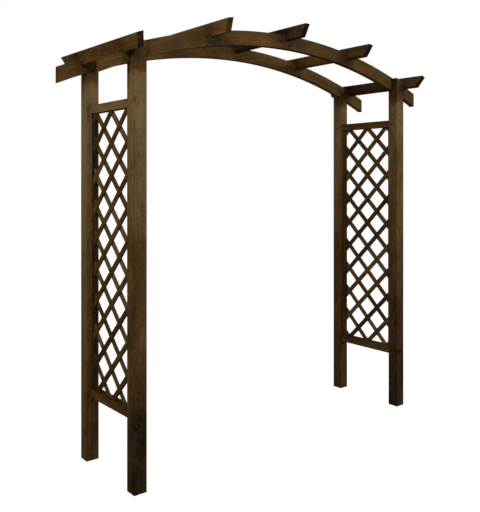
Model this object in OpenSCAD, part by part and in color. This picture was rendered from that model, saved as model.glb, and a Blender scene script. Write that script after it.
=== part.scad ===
// Timber garden arch: four posts, two curved beams, five rafters and two lattice panels.
// Millimetres. X runs across the walkway, Y runs through it with the front at -Y, Z is up.
// The origin is on the ground, in the middle of the four posts.

/* [Arch] */
// Distance between the left and right posts, centre to centre
span = 1990; // [1600:10:2400]
// Distance between the front and rear posts, centre to centre
depth = 500; // [400:10:700]
// Height of the beams' top edge at the middle of the arch
arch_height = 2340; // [1950:10:2820]
// Radius of the beams' top edge
arch_radius = 3050; // [2500:10:3700]
// Length of beam past the outer face of each post, measured level
beam_tail = 160; // [120:5:220]

/* [Timber] */
// Side of the square posts
post_side = 70; // [58:1:84]
// Depth of the curved beams, from the top edge to the underside
beam_depth = 80; // [66:1:96]
// Thickness of the curved beams
beam_thickness = 35; // [29:1:42]
// Depth of the rafters
rafter_depth = 70; // [58:1:84]
// Thickness of the rafters
rafter_thickness = 35; // [29:1:42]

/* [Rafters] */
// Length of a rafter along its top edge
rafter_length = 830; // [760:10:1000]
// Lean of the rafters' end cuts, in degrees
rafter_end_lean = 28; // [22:1:34]
// How far a rafter's bottom edge lies below the beams' top edge
rafter_drop = 30; // [24:1:36]
// Gap between an outer rafter and the post next to it
rafter_post_gap = 1.5; // [1:0.1:3]

/* [Side panels] */
// Height of the open window between a panel and the beams, at the posts
window_height = 182; // [150:2:220]
// Height of the panels' lower edge above the ground
panel_clearance = 340; // [280:5:410]
// Height of a panel's top rail
top_rail_height = 45; // [40:1:54]
// Height of a panel's bottom rail
bottom_rail_height = 50; // [44:1:60]
// Thickness of the rails
rail_thickness = 40; // [36:1:42]
// Distance from a post's outer face to a rail's outer face
rail_inset = 22; // [18:1:24]
// Width of the rear stiles, the upright strips against the rear posts
rear_stile_width = 36; // [32:1:44]
// Width of the front stiles, which are narrower
front_stile_width = 20; // [17:1:24]
// Thickness of the stiles
stile_thickness = 20; // [18:1:24]
// Distance from a rail's outer face to the laths and to a stile's outer face
lath_recess = 8; // [6:1:9]

/* [Lattice] */
// Spacing of the crossings that the lattice aims at
lattice_spacing = 166; // [138:1:200]
// Width of a lath
lath_width = 30; // [23:1:34]
// Thickness of a lath
lath_thickness = 7; // [6:0.5:8.5]
// Depth of the grooves in the rails that hold the lath ends
groove_depth = 16; // [14:1:19]
// Width of the rebates in the rear stiles that hold the lath ends
rear_rebate_width = 20; // [16:1:24]
// Width of the rebates in the front stiles that hold the lath ends
front_rebate_width = 12; // [10:1:14]
// How far the outermost crossings lie inside the rails when the crossings lie evenly
crossing_tuck = 11; // [8:1:14]
// How far the left panel's crossings lie below that
left_crossing_drop = 18; // [0:1:40]
// How far the left panel's crossings lie behind the panel's middle
left_crossing_shift = 9; // [-20:1:20]
// How far the right panel's crossings lie below that
right_crossing_drop = 5; // [0:1:40]
// How far the right panel's crossings lie behind the panel's middle
right_crossing_shift = -6; // [-20:1:20]

/* [Fixings] */
// Diameter of the coach screws' shanks in the beams
coach_screw_d = 8; // [6:0.5:10]
// Diameter of the coach screws' heads
coach_head_d = 16; // [13:0.5:20]
// Thickness of the coach screws' heads
coach_head_t = 5; // [4:0.5:6]
// Length of the coach screws under the head
coach_screw_length = 55; // [46:1:58]
// Diameter of the rafter screws' shanks
rafter_screw_d = 6; // [5:0.5:7.5]
// Diameter of the rafter screws' heads
rafter_head_d = 12; // [10:0.5:15]
// Thickness of the rafter screws' heads
rafter_head_t = 4; // [3:0.5:5]
// Length of the rafter screws under the head
rafter_screw_length = 90; // [75:1:96]
// Diameter of the dowels that join the rails to the posts
dowel_d = 12; // [10:1:14]
// Length of the dowels
dowel_length = 60; // [50:2:72]

/* [Hidden] */
RAFTERS = 5;
RAFTER_NODES = [for (i = [1 : RAFTERS]) str("rafter_", i)];

LEFT = -1;
RIGHT = 1;
FRONT = -1;
REAR = 1;
SIDES = [LEFT, RIGHT];
ENDS = [FRONT, REAR];
RISING_TO_FRONT = 1;
RISING_TO_REAR = -1;
ARC_FACETS = 720;
HOLE_FACETS = 32;
CUT = 1;

post_x = span / 2;
post_y = depth / 2;
post_inner_y = post_y - post_side / 2;
post_outer_x = post_x + post_side / 2;

// The arch: one circle for the beams' top edge and one for their underside.
arc_z = arch_height - arch_radius;
underside_radius = arch_radius - beam_depth;
beam_half_length = post_outer_x + beam_tail;
beam_mid_y = post_inner_y + beam_thickness / 2;
beam_outer_y = post_inner_y + beam_thickness;

// The rafters: the outer ones stand just outside the posts, the others share the arc evenly.
rafter_bottom_radius = arch_radius - rafter_drop;
rafter_notch = rafter_drop / 2;
outer_rafter_x = post_outer_x + rafter_post_gap;
outer_rafter_angle = asin(outer_rafter_x / norm([rafter_bottom_radius, rafter_thickness / 2]))
    + atan(rafter_thickness / 2 / rafter_bottom_radius);
rafter_step = 2 * outer_rafter_angle / (RAFTERS - 1);
rafter_setback = rafter_depth * tan(rafter_end_lean);

// The side panels, as heights above the ground and distances in from the posts' outer faces.
beam_underside_at_post = arc_z + sqrt(pow(underside_radius, 2) - pow(post_x, 2));
panel_top = beam_underside_at_post - window_height;
clear_top = panel_top - top_rail_height;
clear_bottom = panel_clearance + bottom_rail_height;
lath_inset = rail_inset + lath_recess;

// The lattice: laths at 45 degrees, cut to the window that the grooves and rebates add up to.
lath_top = clear_top + groove_depth;
lath_bottom = clear_bottom - groove_depth;
crossing_height = clear_top - clear_bottom + 2 * crossing_tuck;
crossing_rows = round(crossing_height / lattice_spacing);
crossing_pitch = crossing_height / crossing_rows;
lath_half_rise = lath_width / sqrt(2);
laths_beyond = ceil(post_inner_y / crossing_pitch) + 1;

// The fixings.
coach_screw_offset = post_side / 5;
coach_screw_rise = beam_depth / 5;
dowel_inset = rail_inset + rail_thickness / 2;
top_dowel_z = panel_top - (top_rail_height - groove_depth) / 2;
bottom_dowel_z = panel_clearance + (bottom_rail_height - groove_depth) / 2;

// Distance across from the middle, at an inset from the outer face of the posts on one side.
function inset_x(side, inset) = side * (post_outer_x - inset);

// Lean of a rafter, from the upright, counted from the left.
function rafter_angle(number) = (number - (RAFTERS + 1) / 2) * rafter_step;

// How far a panel's crossings lie below and behind their even places.
function crossing_drop(side) = side == LEFT ? left_crossing_drop : right_crossing_drop;
function crossing_shift(side) = side == LEFT ? left_crossing_shift : right_crossing_shift;

// Width of the stile at one end of a panel, and of its rebate.
function stile_width(end) = end == FRONT ? front_stile_width : rear_stile_width;
function rebate_width(end) = end == FRONT ? front_rebate_width : rear_rebate_width;

// Distance from the panel's middle to the lath ends in one stile's rebate.
function lath_reach(end) = post_inner_y - stile_width(end) + rebate_width(end);

// Heights at which the laths of one layer cross the panel's middle. A lath is low at the end
// that its lean names and high at the other.
function lath_heights(side, lean) = [
    for (i = [-laths_beyond : crossing_rows + laths_beyond])
        let (height = clear_top + crossing_tuck - crossing_drop(side)
                + lean * crossing_shift(side) - i * crossing_pitch)
            if (height < lath_top + lath_reach(lean) - lath_half_rise
                && height > lath_bottom - lath_reach(-lean) + lath_half_rise) height];

// Height of the middle of a beam at a distance across from the arch's middle.
function beam_middle_z(x) = arc_z + sqrt(pow(arch_radius - beam_depth / 2, 2) - pow(x, 2));

// Stands a flat outline up across the walkway and gives it a thickness along Y.
module across(y, thickness) {
    translate([0, y + thickness / 2, 0])
        rotate([90, 0, 0])
            linear_extrude(thickness) children();
}

// Stands a flat outline up along the walkway, between two insets on one side.
module along(side, inset, thickness) {
    x = min(inset_x(side, inset), inset_x(side, inset + thickness));
    translate([x, 0, 0])
        rotate([90, 0, 90])
            linear_extrude(thickness) children();
}

// A circle about the arch's centre.
module arch_circle(radius) {
    translate([0, arc_z]) circle(radius, $fn = ARC_FACETS);
}

// A block along Y, between two insets on one side.
module rail_block(side, inset, thickness, half_length, bottom, height) {
    along(side, inset, thickness)
        translate([-half_length, bottom]) square([2 * half_length, height]);
}

// The window of a panel that its laths fill, from one stile's rebate to the other's.
module lath_window(bottom, height) {
    translate([-lath_reach(FRONT), bottom])
        square([lath_reach(FRONT) + lath_reach(REAR), height]);
}

// The groove in a rail for the lath ends.
module lath_groove(side, bottom) {
    along(side, lath_inset, 2 * lath_thickness)
        lath_window(bottom, groove_depth + CUT);
}

// Puts a child that points up the arch's radius on a rafter's middle line.
module on_arch(number, radius) {
    translate([0, 0, arc_z])
        rotate([0, rafter_angle(number), 0])
            translate([0, 0, radius]) children();
}

// The screw as it lies, head towards the inside of the walkway, in one corner joint.
module coach_screw(side, end) {
    for (step = [-1, 1]) {
        x = side * post_x + step * coach_screw_offset;
        z = beam_middle_z(x) + step * side * coach_screw_rise;
        translate([x, end * post_inner_y, z])
            rotate([-90 * end, 0, 0])
                union() {
                    cylinder(h = coach_head_t, d = coach_head_d, $fn = HOLE_FACETS);
                    cylinder(h = coach_screw_length, d = coach_screw_d, $fn = HOLE_FACETS);
                }
    }
}

// The screw that holds one rafter to one beam, head flush with the rafter's top edge.
module rafter_screw(number, end) {
    on_arch(number, rafter_bottom_radius + rafter_depth)
        translate([0, end * beam_mid_y, 0])
            rotate([180, 0, 0])
                union() {
                    cylinder(h = rafter_head_t, d = rafter_head_d, $fn = HOLE_FACETS);
                    cylinder(h = rafter_screw_length, d = rafter_screw_d, $fn = HOLE_FACETS);
                }
}

// The dowel between one rail end and its post.
module rail_dowel(side, end, z) {
    translate([inset_x(side, dowel_inset), end * post_inner_y, z])
        rotate([90, 0, 0])
            cylinder(h = dowel_length, d = dowel_d, center = true, $fn = HOLE_FACETS);
}

// A square post. Its top follows the beam's top edge and is rebated to seat the beam.
module post(side, end) {
    color("saddlebrown")
        difference() {
            across(end * post_y, post_side)
                intersection() {
                    translate([side * post_x - post_side / 2, 0])
                        square([post_side, arch_height]);
                    arch_circle(arch_radius);
                }
            across(end * (beam_mid_y - CUT / 2), beam_thickness + CUT)
                difference() {
                    translate([side * post_x - post_side, clear_top])
                        square([2 * post_side, arch_height]);
                    arch_circle(underside_radius);
                }
            coach_screw(side, end);
            rail_dowel(side, end, top_dowel_z);
            rail_dowel(side, end, bottom_dowel_z);
        }
}

// A curved beam with a notch for each rafter. Its ends are cut upright.
module arch_beam(end) {
    color("peru")
        difference() {
            across(end * beam_mid_y, beam_thickness)
                intersection() {
                    difference() {
                        arch_circle(arch_radius);
                        arch_circle(underside_radius);
                    }
                    translate([-beam_half_length, 0])
                        square([2 * beam_half_length, arch_height + CUT]);
                }
            for (number = [1 : RAFTERS]) {
                on_arch(number, arch_radius - rafter_notch)
                    translate([-rafter_thickness / 2, end * beam_mid_y - beam_thickness, 0])
                        cube([rafter_thickness, 2 * beam_thickness, rafter_depth]);
                rafter_screw(number, end);
            }
            for (side = SIDES)
                coach_screw(side, end);
        }
}

// A straight rafter, notched over both beams, with leaning ends.
module rafter(number) {
    half = rafter_length / 2;
    foot = half - rafter_setback;
    color("sienna")
        difference() {
            on_arch(number, rafter_bottom_radius)
                translate([-rafter_thickness / 2, 0, 0])
                    rotate([90, 0, 90])
                        linear_extrude(rafter_thickness)
                            difference() {
                                polygon([
                                    [-foot, 0], [foot, 0],
                                    [half, rafter_depth], [-half, rafter_depth]]);
                                for (end = ENDS)
                                    translate([end * beam_mid_y - beam_thickness / 2, -CUT])
                                        square([beam_thickness, rafter_notch + CUT]);
                            }
            for (end = ENDS)
                rafter_screw(number, end);
        }
}

// A panel's top rail, grooved underneath for the lath ends.
module top_rail(side) {
    color("peru")
        difference() {
            rail_block(side, rail_inset, rail_thickness, post_inner_y, clear_top, top_rail_height);
            lath_groove(side, clear_top - CUT);
            for (end = ENDS)
                rail_dowel(side, end, top_dowel_z);
        }
}

// A panel's bottom rail, grooved on top for the lath ends.
module bottom_rail(side) {
    color("sienna")
        difference() {
            rail_block(side, rail_inset, rail_thickness, post_inner_y,
                panel_clearance, bottom_rail_height);
            lath_groove(side, lath_bottom);
            for (end = ENDS)
                rail_dowel(side, end, bottom_dowel_z);
        }
}

// An upright strip against a post, rebated on its outer face for the lath ends.
module stile(side, end) {
    width = stile_width(end);
    stile_mid = end * (post_inner_y - width / 2);
    rebate_cut = rebate_width(end) + CUT;
    rebate_mid = end * (lath_reach(end) - rebate_cut / 2);
    color("saddlebrown")
        difference() {
            along(side, lath_inset, stile_thickness)
                translate([stile_mid - width / 2, clear_bottom])
                    square([width, clear_top - clear_bottom]);
            along(side, lath_inset - CUT, 2 * lath_thickness + CUT)
                translate([rebate_mid - rebate_cut / 2, clear_bottom - CUT])
                    square([rebate_cut, clear_top - clear_bottom + 2 * CUT]);
        }
}

// One layer of parallel laths. Each lath is a separate slanting strip.
module lath_layer(side, layer, lean) {
    rise = lean * post_inner_y;
    for (height = lath_heights(side, lean))
        along(side, lath_inset + layer * lath_thickness, lath_thickness)
            intersection() {
                lath_window(lath_bottom, lath_top - lath_bottom);
                polygon([
                    [-post_inner_y, height + rise - lath_half_rise],
                    [post_inner_y, height - rise - lath_half_rise],
                    [post_inner_y, height - rise + lath_half_rise],
                    [-post_inner_y, height + rise + lath_half_rise]]);
            }
}

module outer_laths(side) {
    color("sienna")
        lath_layer(side, 0, side == LEFT ? RISING_TO_FRONT : RISING_TO_REAR);
}

module inner_laths(side) {
    color("peru")
        lath_layer(side, 1, side == LEFT ? RISING_TO_REAR : RISING_TO_FRONT);
}

module beam_coach_screws() {
    color("dimgray")
        for (side = SIDES, end = ENDS)
            coach_screw(side, end);
}

module rafter_screws() {
    color("dimgray")
        for (number = [1 : RAFTERS], end = ENDS)
            rafter_screw(number, end);
}

module rail_dowels() {
    color("burlywood")
        for (side = SIDES, end = ENDS, z = [top_dowel_z, bottom_dowel_z])
            rail_dowel(side, end, z);
}

post(LEFT, FRONT);  // post_front_left
post(LEFT, REAR);  // post_rear_left
post(RIGHT, FRONT);  // post_front_right
post(RIGHT, REAR);  // post_rear_right
arch_beam(FRONT);  // arch_beam_front
arch_beam(REAR);  // arch_beam_rear
for (i = [1 : RAFTERS])
    rafter(i);
top_rail(LEFT);  // left_panel_top_rail
bottom_rail(LEFT);  // left_panel_bottom_rail
stile(LEFT, FRONT);  // left_panel_front_stile
stile(LEFT, REAR);  // left_panel_rear_stile
outer_laths(LEFT);  // left_panel_outer_laths
inner_laths(LEFT);  // left_panel_inner_laths
top_rail(RIGHT);  // right_panel_top_rail
bottom_rail(RIGHT);  // right_panel_bottom_rail
stile(RIGHT, FRONT);  // right_panel_front_stile
stile(RIGHT, REAR);  // right_panel_rear_stile
outer_laths(RIGHT);  // right_panel_outer_laths
inner_laths(RIGHT);  // right_panel_inner_laths
beam_coach_screws();
rafter_screws();
rail_dowels();
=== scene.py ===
import math
import random

import bpy
from mathutils import Matrix, Vector


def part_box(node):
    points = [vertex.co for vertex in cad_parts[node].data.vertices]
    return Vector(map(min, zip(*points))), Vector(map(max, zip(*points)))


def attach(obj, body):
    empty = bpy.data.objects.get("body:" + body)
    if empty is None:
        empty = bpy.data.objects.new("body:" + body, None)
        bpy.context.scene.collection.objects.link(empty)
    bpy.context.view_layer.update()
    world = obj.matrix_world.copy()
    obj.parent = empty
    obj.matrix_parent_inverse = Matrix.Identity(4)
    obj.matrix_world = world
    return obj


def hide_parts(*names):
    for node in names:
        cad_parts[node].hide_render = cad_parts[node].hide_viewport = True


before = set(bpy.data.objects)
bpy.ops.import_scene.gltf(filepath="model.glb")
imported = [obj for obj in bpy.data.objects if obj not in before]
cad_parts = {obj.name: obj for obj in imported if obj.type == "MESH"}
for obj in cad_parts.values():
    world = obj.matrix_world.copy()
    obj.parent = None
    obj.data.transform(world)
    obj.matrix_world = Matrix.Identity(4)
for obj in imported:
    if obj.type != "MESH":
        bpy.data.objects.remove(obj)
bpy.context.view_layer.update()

# ---------------------------------------------------------------------------
# Driving sizes, in metres
# ---------------------------------------------------------------------------

def middle_of(node):
    low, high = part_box(node)
    return (low + high) / 2


ARCH_RADIUS = 3.05          # top edge of both beams
ARCH_CENTRE = Vector((0.0, 0.0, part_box("arch_beam_front")[1].z - ARCH_RADIUS))
BEAM_DEPTH = 0.080
BEAM_OUT = middle_of("arch_beam_rear").y

RAFTER_COUNT = 5
RAFTER_PITCH = math.radians(10.15)
RAFTER_THICKNESS = 0.035
RAFTER_NOTCH = 0.015        # let into the beam's top edge

POST_OUT = middle_of("post_front_right").x
POST_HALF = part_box("post_front_right")[1].x - POST_OUT
SEAT_HEIGHT = 2.10          # just under the beams, where the posts get painted shade
RAIL_HEIGHTS = [middle_of(f"left_panel_{level}_rail").z for level in ("bottom", "top")]
LATH_SLOPE = math.radians(45)

POST_ARRIS = 0.0020
BOARD_ARRIS = 0.0015
LATH_ARRIS = 0.0010
ARRIS_STEPS = 2
SHORTEST_ARRIS = 0.0065     # shorter edges belong to holes and stay sharp
SAWN_END = 0.6              # a face turned this far along the grain is end grain
FLAT_FACE = 0.985           # a face square to the board this closely isn't an arris

FLAT_ANGLE = math.radians(0.4)      # faces this nearly level with each other are one face
SHARP_ANGLE = math.radians(35)      # an edge at least this sharp is an arris
SMOOTH_ANGLE = math.radians(50)     # faces up to this far apart shade as one
SAME_POINT = 1e-6

UP = (0.0, 0.0, 1.0)
BACK = (0.0, 1.0, 0.0)
RIGHT = (1.0, 0.0, 0.0)


# ---------------------------------------------------------------------------
# Bench work: picking pieces up, copying them, finishing them
# ---------------------------------------------------------------------------

def pick(*pieces):
    """Only these pieces are selected, the first one active."""
    bpy.ops.object.select_all(action="DESELECT")
    for piece in pieces:
        piece.select_set(True)
    bpy.context.view_layer.objects.active = pieces[0]


def edit(piece):
    """Into edit mode with the whole mesh selected."""
    pick(piece)
    bpy.ops.object.mode_set(mode="EDIT")
    bpy.ops.mesh.select_mode(type="VERT")
    bpy.ops.mesh.select_all(action="SELECT")


def done():
    """Back out of edit mode."""
    bpy.ops.object.mode_set(mode="OBJECT")


def place_mesh(piece):
    """The piece's place goes into its mesh and its object to the origin."""
    pick(piece)
    bpy.ops.object.transform_apply(location=True, rotation=True, scale=True)


def copy_of(node):
    """A piece of its own on the shape of a CAD node, with flat faces whole again."""
    piece = bpy.data.objects.new(node + "_board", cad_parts[node].data.copy())
    bpy.context.scene.collection.objects.link(piece)
    piece.data.materials.clear()
    edit(piece)
    bpy.ops.mesh.customdata_custom_splitnormals_clear()
    bpy.ops.mesh.remove_doubles(threshold=SAME_POINT)
    bpy.ops.mesh.dissolve_limited(angle_limit=FLAT_ANGLE)
    done()
    return piece


def use_modifier(piece, kind, **settings):
    """Adds one modifier, sets it and applies it."""
    pick(piece)
    modifier = piece.modifiers.new(kind.lower(), kind)
    for name, value in settings.items():
        setattr(modifier, name, value)
    bpy.ops.object.modifier_apply(modifier=modifier.name)


def ease_arrises(piece, width):
    """Rounds the long sharp edges."""
    edit(piece)
    bpy.ops.mesh.select_mode(type="EDGE")
    bpy.ops.mesh.select_all(action="DESELECT")
    bpy.ops.mesh.edges_select_sharp(sharpness=SHARP_ANGLE)
    done()
    mesh = piece.data
    weight = mesh.attributes.new("bevel_weight_edge", "FLOAT", "EDGE")
    for edge in mesh.edges:
        start, end = (mesh.vertices[number].co for number in edge.vertices)
        if edge.select and (end - start).length > SHORTEST_ARRIS:
            weight.data[edge.index].value = 1.0
    use_modifier(piece, "BEVEL", width=width, segments=ARRIS_STEPS, limit_method="WEIGHT",
                 use_clamp_overlap=False)


def smooth_face(piece):
    """Rounded edges shade round and flat faces stay flat."""
    pick(piece)
    bpy.ops.object.shade_smooth_by_angle(angle=SMOOTH_ANGLE)
    use_modifier(piece, "WEIGHTED_NORMAL", mode="FACE_AREA", weight=80, keep_sharp=True)


# ---------------------------------------------------------------------------
# Grain: where each board was in its tree
# ---------------------------------------------------------------------------

def straight(centre, along, across):
    """A straight board's own coordinates, and its three directions: across, through, along."""
    along = Vector(along).normalized()
    across = Vector(across).normalized()
    directions = (across, along.cross(across), along)
    turn = Matrix(directions)
    return (lambda point: turn @ (point - centre)), (lambda point: directions)


def curved(centre, radius, y_middle):
    """The same for a beam whose grain follows the arch."""
    def place(point):
        out = point - centre
        angle = math.atan2(out.x, out.z)
        return Vector((math.hypot(out.x, out.z) - radius, out.y - y_middle, angle * radius))

    def directions(point):
        out = Vector((point.x - centre.x, 0.0, point.z - centre.z)).normalized()
        return out, Vector(BACK), Vector((out.z, 0.0, -out.x))

    return place, directions


def lay_grain(piece, boards):
    """Writes each board's own coordinates, and which faces are sawn ends or arrises.

    boards is a list of (vertex numbers, coordinates, directions, pith, start, shade).
    A shade is one number, or a function of the way a face looks.
    """
    mesh = piece.data
    grain = [0.0] * (3 * len(mesh.vertices))
    cut = [0.0] * (3 * len(mesh.polygons))
    owner = {}
    for board in boards:
        numbers, place, directions, pith, start, shade = board
        shift = Vector((pith[0], pith[1], start))
        for number in numbers:
            grain[3 * number:3 * number + 3] = place(mesh.vertices[number].co) + shift
            owner[number] = board
    for face in mesh.polygons:
        board = owner[face.vertices[0]]
        facing = [abs(face.normal.dot(way)) for way in board[2](face.center)]
        is_end = facing[2] > SAWN_END
        is_arris = not is_end and max(facing) < FLAT_FACE
        shade = board[5](face.normal) if callable(board[5]) else board[5]
        cut[3 * face.index:3 * face.index + 3] = (float(is_end), float(is_arris), shade)
    mesh.attributes.new("grain", "FLOAT_VECTOR", "POINT").data.foreach_set("vector", grain)
    mesh.attributes.new("cut", "FLOAT_VECTOR", "FACE").data.foreach_set("vector", cut)


def loose_parts(mesh):
    """The vertex numbers of each separate board in a mesh."""
    parent = list(range(len(mesh.vertices)))

    def root(number):
        while parent[number] != number:
            parent[number] = parent[parent[number]]
            number = parent[number]
        return number

    for edge in mesh.edges:
        parent[root(edge.vertices[0])] = root(edge.vertices[1])
    parts = {}
    for number in range(len(parent)):
        parts.setdefault(root(number), []).append(number)
    return list(parts.values())


# ---------------------------------------------------------------------------
# Stained softwood
# ---------------------------------------------------------------------------

class Finish:
    """A material's nodes, added and joined one call at a time."""

    def __init__(self, name):
        self.material = bpy.data.materials.new(name)
        self.material.use_nodes = True
        self.tree = self.material.node_tree
        self.tree.nodes.clear()

    def add(self, kind, inputs=None, **settings):
        node = self.tree.nodes.new(kind)
        for name, value in settings.items():
            setattr(node, name, value)
        for name, value in (inputs or {}).items():
            self.give(node.inputs[name], value)
        return node

    def give(self, socket, value):
        if isinstance(value, bpy.types.NodeSocket):
            self.tree.links.new(value, socket)
        else:
            socket.default_value = value

    def maths(self, operation, first, second=0.0, third=0.0, clamp=False):
        node = self.add("ShaderNodeMath", {0: first, 1: second, 2: third},
                        operation=operation, use_clamp=clamp)
        return node.outputs[0]

    def vectors(self, operation, first, second=None, scale=None):
        inputs = {0: first}
        if second is not None:
            inputs[1] = second
        if scale is not None:
            inputs["Scale"] = scale
        node = self.add("ShaderNodeVectorMath", inputs, operation=operation)
        return node.outputs["Value" if operation == "LENGTH" else "Vector"]

    def spread(self, vector, scale):
        node = self.add("ShaderNodeMapping", {"Vector": vector, "Scale": scale},
                        vector_type="POINT")
        return node.outputs["Vector"]

    def noise(self, vector, scale, detail=2.0, roughness=0.5):
        node = self.add("ShaderNodeTexNoise", {"Vector": vector, "Scale": scale,
                                               "Detail": detail, "Roughness": roughness})
        return node

    def between(self, value, low, high, new_low=0.0, new_high=1.0, smooth=True):
        node = self.add("ShaderNodeMapRange", {"Value": value, "From Min": low,
                                               "From Max": high, "To Min": new_low,
                                               "To Max": new_high},
                        interpolation_type="SMOOTHSTEP" if smooth else "LINEAR")
        return node.outputs["Result"]

    def combine(self, x, y, z):
        node = self.add("ShaderNodeCombineXYZ", {"X": x, "Y": y, "Z": z})
        return node.outputs["Vector"]

    def ramp(self, value, stops):
        node = self.add("ShaderNodeValToRGB", {"Fac": value})
        ramp = node.color_ramp
        while len(ramp.elements) < len(stops):
            ramp.elements.new(0.5)
        for element, (position, colour) in zip(ramp.elements, stops):
            element.position = position
            element.color = (*colour, 1.0)
        return node.outputs["Color"]

    def around_zero(self, noise, amount, tone):
        """Adds a noise that runs from 0 to 1 to the tone, up and down by half the amount."""
        return self.maths("MULTIPLY_ADD", self.maths("SUBTRACT", noise, 0.5), amount, tone)

    def surface(self, inputs):
        """One principled shader straight to the material's surface."""
        shader = self.add("ShaderNodeBsdfPrincipled", inputs)
        out = self.add("ShaderNodeOutputMaterial")
        self.give(out.inputs["Surface"], shader.outputs["BSDF"])
        return self.material


SEAT_REACH = 0.035          # painted shade reaches this much further from a beam's seat
RAIL_REACH = -0.050         # and this much less far from a rail


def from_post_joints(f, here):
    """Distance along a post from the beam's seat or from the nearer rail."""
    height = here["Z"]
    seat = f.maths("ABSOLUTE", f.maths("SUBTRACT", height, SEAT_HEIGHT))
    seat = f.maths("SUBTRACT", seat, SEAT_REACH)
    rails = [f.maths("ABSOLUTE", f.maths("SUBTRACT", height, rail)) for rail in RAIL_HEIGHTS]
    nearest_rail = f.maths("SUBTRACT", f.maths("MINIMUM", *rails), RAIL_REACH)
    return f.maths("MINIMUM", seat, nearest_rail)


def from_beam_joints(f, here):
    """Distance along a beam from the nearest rafter or post."""
    angle = f.maths("ARCTAN2", here["X"], f.maths("SUBTRACT", here["Z"], ARCH_CENTRE.z))
    rafter = f.maths("MULTIPLY", f.maths("PINGPONG", angle, RAFTER_PITCH / 2), ARCH_RADIUS)
    post = f.maths("SUBTRACT", f.maths("ABSOLUTE", here["X"]), POST_OUT)
    post = f.maths("SUBTRACT", f.maths("ABSOLUTE", post), POST_HALF)
    return f.maths("MINIMUM", rafter, post)


def from_rafter_joints(f, here):
    """Distance along a rafter from the nearer beam."""
    return f.maths("ABSOLUTE", f.maths("SUBTRACT", f.maths("ABSOLUTE", here["Y"]), BEAM_OUT))


RING_PITCH = 0.0042
SMALLEST_KNOT = 0.006
LARGEST_KNOT = 0.017
WHORLS = 3.1                # rows of knots in a metre of trunk
AROUND = 0.9                # how closely knots follow each other round the trunk
WANDER = 0.030              # how far a trunk strays from straight, side to side


def trunk_of(f, lay):
    """A board's place in its trunk, which wanders a little: distance out, direction out, height."""
    bend = f.noise(f.spread(lay, (1.5, 1.5, 1.1)), 1.0, 1.0)
    bend = f.vectors("SUBTRACT", bend.outputs["Color"], (0.5, 0.5, 0.5))
    bend = f.vectors("MULTIPLY", bend, (WANDER, WANDER, 0.0))
    trunk = f.vectors("ADD", lay, bend)
    flat = f.vectors("MULTIPLY", trunk, (1.0, 1.0, 0.0))
    height = f.add("ShaderNodeSeparateXYZ", {"Vector": trunk}).outputs["Z"]
    return f.vectors("LENGTH", flat), f.vectors("NORMALIZE", flat), height


def knots(f, radius, outwards, height):
    """Knots start at the pith and open outwards: the knot, its dark edge, the grain round it."""
    around = f.vectors("SCALE", outwards, scale=AROUND)
    whorl = f.combine(0.0, 0.0, f.maths("MULTIPLY", height, WHORLS))
    whorl = f.vectors("ADD", around, whorl)
    branch = f.add("ShaderNodeTexVoronoi", {"Vector": whorl, "Scale": 1.0},
                   feature="F1", voronoi_dimensions="3D")
    away = f.vectors("SUBTRACT", whorl, branch.outputs["Position"])
    reach = f.maths("MULTIPLY", radius, 1.0 / AROUND)
    away = f.vectors("MULTIPLY", away, f.combine(reach, reach, 1.0 / WHORLS))
    from_knot = f.vectors("LENGTH", away)
    size = f.add("ShaderNodeSeparateColor", {"Color": branch.outputs["Color"]}).outputs[0]
    size = f.between(size, 0.0, 1.0, SMALLEST_KNOT, LARGEST_KNOT, smooth=False)
    # Distances from here on are in parts of the knot's own size.
    part = f.maths("DIVIDE", from_knot, size)
    knot = f.between(part, 1.15, 0.80)
    edge = f.maths("MULTIPLY", f.between(part, 1.45, 1.0), f.between(part, 0.55, 0.95))
    swirl = f.between(part, 3.6, 0.6)
    return knot, edge, swirl


def summer_wood(f, lay, radius, swirl):
    """The narrow dark part of each ring, bent round the knots."""
    wobble = f.noise(f.spread(lay, (9.0, 9.0, 2.0)), 1.0, 2.0).outputs["Fac"]
    ring = f.maths("DIVIDE", radius, RING_PITCH)
    ring = f.maths("MULTIPLY_ADD", wobble, 3.0, ring)
    ring = f.maths("MULTIPLY_ADD", swirl, 2.4, ring)
    ring = f.maths("FRACT", ring)
    return f.maths("MULTIPLY", f.between(ring, 0.35, 0.86), f.between(ring, 1.0, 0.90))


# Fineness across and along the board, then detail and roughness of each kind of take-up.
TAKE_UP = {
    "fibre": ((420.0, 420.0, 11.0), 3.0, 0.6),
    "streak": ((62.0, 62.0, 1.7), 3.0, 0.55),
    "patch": ((9.0, 9.0, 3.0), 3.0, 0.5),
    "blotch": ((26.0, 26.0, 16.0), 2.0, 0.5),
    "speck": ((110.0, 110.0, 75.0), 2.0, 0.6),
}
# How strongly each kind of take-up, and each mark, changes the stain's tone.
USUAL_TONE = 0.52
PATCHY = 0.95
UNEVEN = {"streak": 0.34, "blotch": 0.34, "fibre": 0.34, "speck": 0.42}
DARK_MARKS = {"late": -0.07, "knot": -0.11, "knot_edge": -0.09, "end": -0.46, "arris": -0.22}

# Where a darkening starts and where it is full: heights for the damp foot, then distances from a
# joint for the painted shade there.
DAMP_LINE = (0.42, 0.22)
JOINT_SHADE_LINE = (0.070, 0.010)
RAGGED_DAMP = 0.5
RAGGED_JOINT_SHADE = -0.16

FOOT_AND_TOP = (0.0, 2.0)
LIGHTER_TOP = 0.8           # of what the foot is darker


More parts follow.
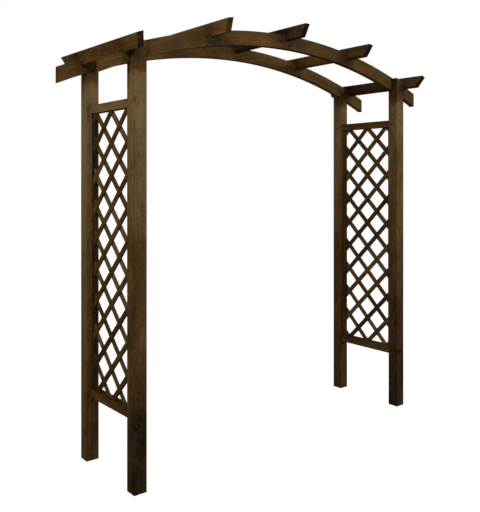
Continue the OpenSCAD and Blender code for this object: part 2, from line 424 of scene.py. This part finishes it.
def stained_softwood(name, stain, shade=0.0, foot_shade=0.0, damp_foot=0.0,
                     from_joints=None, joint_shade=0.30):
    """Planed pine under a brown stain: rings, knots, fibres and patchy take-up.

    stain is its dark, middle and light colour. foot_shade darkens the foot against the top,
    and the last argument sets the painted shade next to the joints that from_joints measures from.
    """
    f = Finish(name)
    here = f.add("ShaderNodeTexCoord").outputs["Object"]
    here = f.add("ShaderNodeSeparateXYZ", {"Vector": here}).outputs
    lay = f.add("ShaderNodeAttribute", attribute_name="grain").outputs["Vector"]
    cut = f.add("ShaderNodeAttribute", attribute_name="cut").outputs["Vector"]
    end, arris, board_shade = f.add("ShaderNodeSeparateXYZ", {"Vector": cut}).outputs

    radius, outwards, height = trunk_of(f, lay)
    knot, knot_edge, swirl = knots(f, radius, outwards, height)
    late = summer_wood(f, lay, radius, swirl)
    marks = {"late": late, "knot": knot, "knot_edge": knot_edge, "end": end, "arris": arris}
    take_up = {kind: f.noise(f.spread(lay, scale), 1.0, detail, roughness).outputs["Fac"]
               for kind, (scale, detail, roughness) in TAKE_UP.items()}

    tone = f.around_zero(take_up["patch"], PATCHY, USUAL_TONE + shade)
    tone = f.maths("ADD", tone, board_shade)
    # Darker towards the foot, lighter towards the top.
    height_tone = f.between(here["Z"], *FOOT_AND_TOP, -foot_shade, foot_shade * LIGHTER_TOP)
    tone = f.maths("ADD", tone, height_tone)
    if damp_foot:
        damp_height = f.around_zero(take_up["patch"], RAGGED_DAMP, here["Z"])
        tone = f.maths("MULTIPLY_ADD", f.between(damp_height, *DAMP_LINE), -damp_foot, tone)
    for kind, amount in UNEVEN.items():
        tone = f.around_zero(take_up[kind], amount, tone)
    for mark, amount in DARK_MARKS.items():
        tone = f.maths("MULTIPLY_ADD", marks[mark], amount, tone)
    # Painted shade next to the joints, where beams, rafters, posts and rails meet.
    if from_joints:
        ragged = f.around_zero(take_up["blotch"], RAGGED_JOINT_SHADE, from_joints(f, here))
        tone = f.maths("MULTIPLY_ADD", f.between(ragged, *JOINT_SHADE_LINE), -joint_shade, tone)
    colour = f.ramp(tone, list(zip((0.0, 0.5, 1.0), stain)))

    # Duller in the streaks and on sawn ends, a little smoother in the dark rings.
    rough = f.maths("MULTIPLY_ADD", take_up["streak"], 0.20, 0.50)
    rough = f.maths("MULTIPLY_ADD", late, -0.05, rough)
    rough = f.maths("MULTIPLY_ADD", end, 0.22, rough, clamp=True)

    # Fibres, dark rings, specks and knots stand proud by parts of a millimetre.
    relief = f.maths("MULTIPLY_ADD", take_up["fibre"], 0.45, f.maths("MULTIPLY", late, 0.35))
    relief = f.maths("MULTIPLY_ADD", take_up["speck"], 0.15, relief)
    relief = f.maths("MULTIPLY_ADD", knot, 0.30, relief)
    bump = f.add("ShaderNodeBump", {"Strength": 0.55, "Distance": 0.0009, "Height": relief})
    return f.surface({"Base Color": colour, "Roughness": rough, "IOR": 1.45,
                      "Specular IOR Level": 0.07, "Normal": bump.outputs["Normal"]})


def bronzed_steel(name):
    """Dark bronzed screw steel, dulled in spots."""
    f = Finish(name)
    here = f.add("ShaderNodeTexCoord").outputs["Object"]
    cloud = f.noise(here, 260.0, 3.0).outputs["Fac"]
    scratch = f.noise(f.spread(here, (2400.0, 300.0, 900.0)), 1.0, 2.0).outputs["Fac"]
    tone = f.around_zero(scratch, 0.3, cloud)
    colour = f.ramp(tone, [(0.25, (0.020, 0.016, 0.012)), (0.55, (0.060, 0.050, 0.040)),
                           (0.8, (0.110, 0.095, 0.075))])
    rough = f.between(cloud, 0.3, 0.7, 0.30, 0.52)
    bump = f.add("ShaderNodeBump", {"Strength": 0.3, "Distance": 0.0002, "Height": scratch})
    return f.surface({"Base Color": colour, "Roughness": rough, "Metallic": 0.9,
                      "Normal": bump.outputs["Normal"]})


STAIN_DARK = (0.022, 0.0142, 0.0088)
STAIN_MIDDLE = (0.131, 0.0665, 0.0180)
BROWN_STAIN = (STAIN_DARK, STAIN_MIDDLE, (0.270, 0.1750, 0.0760))
GOLDEN_STAIN = (STAIN_DARK, STAIN_MIDDLE, (0.270, 0.1500, 0.0470))
BARE_WOOD = ((0.20, 0.12, 0.05), (0.42, 0.28, 0.14), (0.62, 0.45, 0.26))

# Posts, beams and rafters get painted shade next to their joints.
post_finish = stained_softwood("stained_post", BROWN_STAIN, foot_shade=0.30,
                               from_joints=from_post_joints, joint_shade=0.42)
damp_post_finish = stained_softwood("stained_post_damp_foot", BROWN_STAIN, foot_shade=0.30,
                                    from_joints=from_post_joints, joint_shade=0.42, damp_foot=0.12)
beam_finish = stained_softwood("stained_beam", GOLDEN_STAIN, from_joints=from_beam_joints)
rafter_finish = stained_softwood("stained_rafter", GOLDEN_STAIN,
                                 from_joints=from_rafter_joints, joint_shade=0.20)
rail_finish = stained_softwood("stained_rail", BROWN_STAIN)
dark_lath_finish = stained_softwood("stained_lath_dark", BROWN_STAIN, shade=-0.04)
light_lath_finish = stained_softwood("stained_lath_light", BROWN_STAIN, shade=0.12)
dowel_finish = stained_softwood("dowel_wood", BARE_WOOD)
screw_finish = bronzed_steel("screw_steel")


# ---------------------------------------------------------------------------
# The pieces
# ---------------------------------------------------------------------------

def finish_board(piece, node, finish):
    """Gives a board its finish and puts it in its CAD node's place."""
    piece.data.materials.clear()
    piece.data.materials.append(finish)
    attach(piece, "root")
    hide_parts(node)


def make_straight_board(node, along, across, arris, pith, start, shade, finish):
    """A board on its CAD node's shape, with rounded arrises and grain of its own."""
    piece = copy_of(node)
    ease_arrises(piece, arris)
    place, direction = straight(middle_of(node), along, across)
    numbers = range(len(piece.data.vertices))
    lay_grain(piece, [(numbers, place, direction, pith, start, shade)])
    smooth_face(piece)
    finish_board(piece, node, finish)


# Posts: pith across and through the board, place along the trunk, painted light and shade of
# the left, front, right and rear sides, finish
POSTS = {
    "post_front_left": ((0.012, -0.008), 0.4, (0.07, 0.06, 0.02, 0.03), damp_post_finish),
    "post_rear_left": ((-0.009, 0.014), 3.1, (0.37, 0.16, 0.04, 0.06), post_finish),
    "post_front_right": ((0.010, 0.011), 5.2, (-0.07, 0.07, 0.02, 0.05), post_finish),
    "post_rear_right": ((-0.013, -0.006), 8.3, (0.06, 0.15, 0.05, 0.04), post_finish),
}


def light_and_shade_by_side(left, front, right, rear):
    """Each side of a post gets its own painted light and shade, lighter or darker as that side was
    lit.
    """
    def shade(normal):
        if abs(normal.x) > abs(normal.y):
            return left if normal.x < 0 else right
        return front if normal.y < 0 else rear
    return shade


for node, (pith, start, shades, finish) in POSTS.items():
    make_straight_board(node, UP, RIGHT, POST_ARRIS, pith, start, light_and_shade_by_side(*shades),
                        finish)


# Beams: a section spun round the arch, trimmed upright, with the rafters let in
BEAM_STEPS = 104
SPARE_SWEEP = math.radians(2)       # trimmed off again
CUTTER_LENGTH = 1.2                 # through both beams
CUTTER_HEIGHT = 0.2
PALER_END = 0.38                    # makes up for most of the darkening of sawn ends


def rafter_lean(number):
    """How far a rafter leans from the upright, counted from 0 at the left."""
    return (number - (RAFTER_COUNT - 1) / 2) * RAFTER_PITCH


def spin_beam(node):
    """A rounded section spun round the arch's centre and cut upright at both ends."""
    low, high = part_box(node)
    thickness = high.y - low.y
    half_length = high.x
    sweep = 2 * math.asin(half_length / (ARCH_RADIUS - BEAM_DEPTH)) + SPARE_SWEEP
    section = ARCH_CENTRE + Vector((0.0, middle_of(node).y, ARCH_RADIUS - BEAM_DEPTH / 2))
    bpy.ops.mesh.primitive_plane_add(size=1, location=(0, 0, 0))
    piece = bpy.context.object
    piece.name = node + "_board"
    edit(piece)
    bpy.ops.transform.resize(value=(BEAM_DEPTH, thickness, 1))
    bpy.ops.mesh.bevel(offset=BOARD_ARRIS, segments=ARRIS_STEPS, affect="VERTICES")
    bpy.ops.transform.rotate(value=math.pi / 2, orient_axis="Y", center_override=(0, 0, 0))
    bpy.ops.transform.translate(value=section)
    bpy.ops.transform.rotate(value=sweep / 2, orient_axis="Y", center_override=ARCH_CENTRE)
    bpy.ops.mesh.spin(steps=BEAM_STEPS, angle=-sweep, center=ARCH_CENTRE, axis=BACK)
    bpy.ops.mesh.select_all(action="SELECT")
    bpy.ops.mesh.remove_doubles(threshold=SAME_POINT)
    bpy.ops.mesh.normals_make_consistent(inside=False)
    for side in (-1, 1):
        bpy.ops.mesh.select_all(action="SELECT")
        bpy.ops.mesh.bisect(plane_co=(side * half_length, 0, 0), plane_no=(side, 0, 0),
                            use_fill=True, clear_outer=True)
    done()
    return piece


def cut_rafter_notches(piece):
    """Lets the five rafters into a beam's top edge."""
    cutters = []
    for number in range(RAFTER_COUNT):
        lean = rafter_lean(number)
        outwards = Vector((math.sin(lean), 0, math.cos(lean)))
        bpy.ops.mesh.primitive_cube_add(size=1, location=(0, 0, 0))
        cutter = bpy.context.object
        cutter.scale = (RAFTER_THICKNESS, CUTTER_LENGTH, CUTTER_HEIGHT)
        cutter.rotation_euler = (0, lean, 0)
        radius = ARCH_RADIUS - RAFTER_NOTCH + CUTTER_HEIGHT / 2
        cutter.location = ARCH_CENTRE + outwards * radius
        place_mesh(cutter)
        cutters.append(cutter)
    pick(*cutters)
    bpy.ops.object.join()
    cutter = bpy.context.object
    use_modifier(piece, "BOOLEAN", object=cutter, operation="DIFFERENCE", solver="EXACT")
    bpy.data.objects.remove(cutter)


def paler_left_end(shade):
    """A beam's left end is hardly darker than its faces."""
    return lambda normal: shade + PALER_END if normal.x < -FLAT_FACE else shade


def make_beam(node, pith, start, shade):
    """A curved beam whose grain follows the arch."""
    piece = spin_beam(node)
    cut_rafter_notches(piece)
    place, direction = curved(ARCH_CENTRE, ARCH_RADIUS - BEAM_DEPTH / 2, middle_of(node).y)
    numbers = range(len(piece.data.vertices))
    lay_grain(piece, [(numbers, place, direction, pith, start, paler_left_end(shade))])
    smooth_face(piece)
    finish_board(piece, node, beam_finish)


make_beam("arch_beam_front", (0.020, 0.055), 1.3, 0.03)
make_beam("arch_beam_rear", (-0.030, 0.060), 6.2, 0.15)


# Rafters, from the left: pith across and through the board, place along the trunk, shade
RAFTERS = (
    ((-0.030, 0.045), 0.6, 0.06),
    ((-0.015, 0.051), 2.3, 0.12),
    ((0.0, 0.057), 4.0, -0.38),
    ((0.015, 0.063), 5.7, -0.02),
    ((0.030, 0.069), 7.4, -0.17),
)


TOP_SHARE = 0.4
MOSTLY = 0.6                # a normal's part along an axis, for a side that faces that way


def shade_below(shade):
    """A rafter's top and right side stay nearer the usual shade than the rest of it."""
    return lambda normal: shade * TOP_SHARE if max(normal.x, normal.z) > MOSTLY else shade


for number, (pith, start, shade) in enumerate(RAFTERS):
    lean = rafter_lean(number)
    make_straight_board(f"rafter_{number + 1}", BACK, (math.sin(lean), 0.0, math.cos(lean)),
                        BOARD_ARRIS, pith, start, shade_below(shade), rafter_finish)


# Panels: pith of the rails and of the stiles, their places along the trunk, shades of the
# top and bottom rail, shades of the front and rear stile
# The left top rail's lift is painted light, and the rear stiles' darkness is painted shade.
PANELS = {
    "left": ((0.02, 0.05), (0.01, 0.05), 2.2, 4.4, (0.42, 0.02), (0.0, -0.28)),
    "right": ((0.02, 0.06), (0.01, 0.06), 5.2, 6.4, (0.06, 0.10), (0.0, -0.20)),
}
# Painted shade on the rails' upper sides.
RAIL_TOP_SHADE = 0.30


def shaded_on_top(shade):
    """A rail's upper side gets painted shade, as under the laths' ends."""
    return lambda normal: shade - RAIL_TOP_SHADE if normal.z > FLAT_FACE else shade


def make_frame(side, rail_pith, stile_pith, rail_start, stile_start, rail_shades, stile_shades):
    """A panel's two rails and two stiles."""
    for level, shade in zip(("top", "bottom"), rail_shades):
        make_straight_board(f"{side}_panel_{level}_rail", BACK, UP, BOARD_ARRIS, rail_pith,
                            rail_start, shaded_on_top(shade), rail_finish)
    for end, shade in zip(("front", "rear"), stile_shades):
        make_straight_board(f"{side}_panel_{end}_stile", UP, BACK, BOARD_ARRIS, stile_pith,
                            stile_start, shade, rail_finish)


def make_laths(node, rising, finish, seed):
    """One layer of laths, all leaning one way; rising is +1 where they climb to the rear."""
    draw = random.Random(seed)
    piece = copy_of(node)
    ease_arrises(piece, LATH_ARRIS)
    along = (0.0, rising * math.sin(LATH_SLOPE), math.cos(LATH_SLOPE))
    boards = []
    parts = loose_parts(piece.data)
    parts.sort(key=lambda part: min(piece.data.vertices[n].co.z for n in part))
    for part in parts:
        centre = sum((piece.data.vertices[n].co for n in part), Vector()) / len(part)
        place, direction = straight(centre, along, (0.0, along[2], -along[1]))
        pith = (draw.uniform(-0.03, 0.03), draw.uniform(0.03, 0.09))
        boards.append((part, place, direction, pith, draw.uniform(0.0, 9.0),
                       draw.uniform(-0.15, 0.15)))
    lay_grain(piece, boards)
    smooth_face(piece)
    finish_board(piece, node, finish)


for side, boards in PANELS.items():
    make_frame(side, *boards)

make_laths("left_panel_outer_laths", -1, dark_lath_finish, 11)
make_laths("right_panel_inner_laths", -1, dark_lath_finish, 12)
make_laths("left_panel_inner_laths", 1, light_lath_finish, 13)
make_laths("right_panel_outer_laths", 1, light_lath_finish, 14)

# The fixings keep their CAD shapes.
for node, finish in (("rail_dowels", dowel_finish), ("beam_coach_screws", screw_finish),
                     ("rafter_screws", screw_finish)):
    cad_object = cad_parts[node]
    cad_object.data.materials.clear()
    cad_object.data.materials.append(finish)


# ---------------------------------------------------------------------------
# Studio
# ---------------------------------------------------------------------------

# name: place, what it points at, side in metres, watts
SOFTBOXES = {
    "key_softbox": ((-2.2, -2.9, 3.1), (-0.5, 0.0, 1.9), 1.0, 30.0),
    "left_softbox": ((-4.6, -0.8, 3.6), (-0.6, 0.0, 1.9), 1.2, 42.0),
    "right_softbox": ((2.8, -4.0, 3.4), (0.4, 0.0, 1.7), 1.2, 60.0),
    "rear_softbox": ((1.3, 5.0, 3.2), (0.0, 0.0, 1.6), 1.4, 70.0),
    "rear_right_softbox": ((4.2, 2.6, 2.8), (0.4, 0.0, 1.5), 1.4, 70.0),
}
NOT_IN_THE_GLOSS = ("rear_softbox", "rear_right_softbox")
ROOM_LIGHT = 0.19           # how much the white background lights the object
FLOOR_GLOW = 0.97
FLOOR_SIZE = 80.0
FLOOR_DROP = 0.0005         # keeps the floor off the posts' feet

CAMERA_PLACE = (-2.6378, -3.0650, 1.5084)
CAMERA_TURN = math.radians(-39.06)
CAMERA_LENS = 46.87
CAMERA_SHIFT = -0.1493
SENSOR_WIDTH = 36.0


def softbox(name, place, aim, size, power):
    """A square soft light that points at a place."""
    light = bpy.data.lights.new(name, "AREA")
    light.shape = "SQUARE"
    light.size = size
    light.energy = power
    lamp = bpy.data.objects.new(name, light)
    bpy.context.scene.collection.objects.link(lamp)
    lamp.location = place
    lamp.rotation_euler = (Vector(aim) - Vector(place)).to_track_quat("-Z", "Y").to_euler()
    lamp.visible_glossy = name not in NOT_IN_THE_GLOSS


def pale_floor():
    """A pale floor that glows enough to hide its far edge."""
    pale = Finish("pale_floor").surface({
        "Base Color": (0.22, 0.22, 0.22, 1.0), "Roughness": 0.9, "Specular IOR Level": 0.0,
        "Emission Color": (1.0, 1.0, 1.0, 1.0), "Emission Strength": FLOOR_GLOW})
    bpy.ops.object.select_all(action="DESELECT")
    bpy.ops.mesh.primitive_plane_add(size=FLOOR_SIZE, location=(0, 0, -FLOOR_DROP))
    floor = bpy.context.object
    floor.name = "floor"
    place_mesh(floor)
    floor.data.materials.append(pale)
    floor.visible_diffuse = False
    floor.visible_glossy = False


def white_room():
    """A white background that lights the object only a little."""
    world = bpy.data.worlds.new("room")
    bpy.context.scene.world = world
    world.use_nodes = True
    world.cycles_visibility.glossy = False
    nodes = world.node_tree.nodes
    links = world.node_tree.links
    nodes.clear()
    seen = nodes.new("ShaderNodeLightPath").outputs["Is Camera Ray"]
    strength = nodes.new("ShaderNodeMapRange")
    strength.inputs["To Min"].default_value = ROOM_LIGHT
    strength.inputs["To Max"].default_value = 1.0
    links.new(seen, strength.inputs["Value"])
    background = nodes.new("ShaderNodeBackground")
    background.inputs["Color"].default_value = (1.0, 1.0, 1.0, 1.0)
    links.new(strength.outputs["Result"], background.inputs["Strength"])
    out = nodes.new("ShaderNodeOutputWorld")
    links.new(background.outputs["Background"], out.inputs["Surface"])


def place_camera():
    """A level camera to the front left of the arch."""
    camera_data = bpy.data.cameras.new("camera")
    camera_data.sensor_width = SENSOR_WIDTH
    camera_data.lens = CAMERA_LENS
    camera_data.shift_y = CAMERA_SHIFT
    camera = bpy.data.objects.new("camera", camera_data)
    bpy.context.scene.collection.objects.link(camera)
    camera.location = CAMERA_PLACE
    camera.rotation_euler = (math.radians(90), 0.0, CAMERA_TURN)
    bpy.context.scene.camera = camera


pale_floor()
white_room()
for name, setting in SOFTBOXES.items():
    softbox(name, *setting)
place_camera()
bpy.context.scene.view_settings.view_transform = "Standard"
